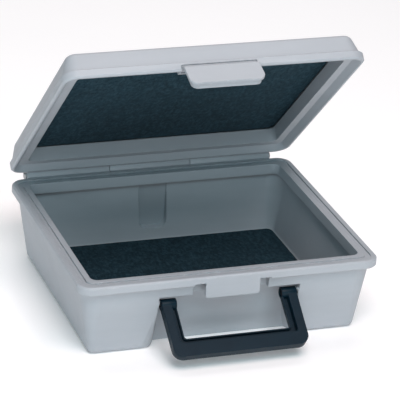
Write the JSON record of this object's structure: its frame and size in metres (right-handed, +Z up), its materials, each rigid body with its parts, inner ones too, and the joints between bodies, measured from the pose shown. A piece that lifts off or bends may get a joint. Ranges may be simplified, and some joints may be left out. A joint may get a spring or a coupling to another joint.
{
  "type": "hinged carrying case",
  "caption": "Moulded plastic document case, lid part open on a full-width rear hinge, dark foam lining in lid and base, wide front latch tongue and a swinging bail handle.",
  "frame": {"origin": "middle of the flat face that the case rests on", "axes": "+Z up, +Y towards the hinge side, +X to the right seen from the handle side"},
  "size_m": [0.3, 0.3069, 0.2706],
  "materials": {
    "shell_plastic": "fine moulded texture, matte",
    "handle_plastic": "satin",
    "foam": "open-cell foam, matte",
    "adhesive_film": "thin double-sided film",
    "steel": "plain drawn wire"
  },
  "bodies": {
    "base": {"base_shell": "shell_plastic", "base_foam_pad": "foam", "base_pad_adhesive": "adhesive_film", "hinge_rod": "steel", "hinge_cap_left": "steel", "hinge_cap_right": "steel", "handle_pin_left": "steel", "handle_pin_right": "steel"},
    "lid": {"lid_shell": "shell_plastic", "lid_foam_pad": "foam", "lid_pad_adhesive": "adhesive_film", "latch_pin": "steel"},
    "latch": {"latch_tongue": "shell_plastic"},
    "handle": {"handle": "handle_plastic"}
  },
  "joints": [
    {"name": "lid_hinge", "type": "hinge", "parent": "base", "child": "lid", "pos_m": [0, 0.1338, 0.0775], "axis": [-1, 0, 0], "range_deg": [-43.5, 61.5]},
    {"name": "handle_swing", "type": "hinge", "parent": "base", "child": "handle", "pos_m": [0, -0.116, 0.0475], "axis": [-1, 0, 0], "range_deg": [-14, 35]},
    {"name": "latch_swing", "type": "hinge", "parent": "lid", "child": "latch", "pos_m": [0, -0.04995, 0.25766], "axis": [-1, 0, 0], "range_deg": [-28, 10]}
  ]
}
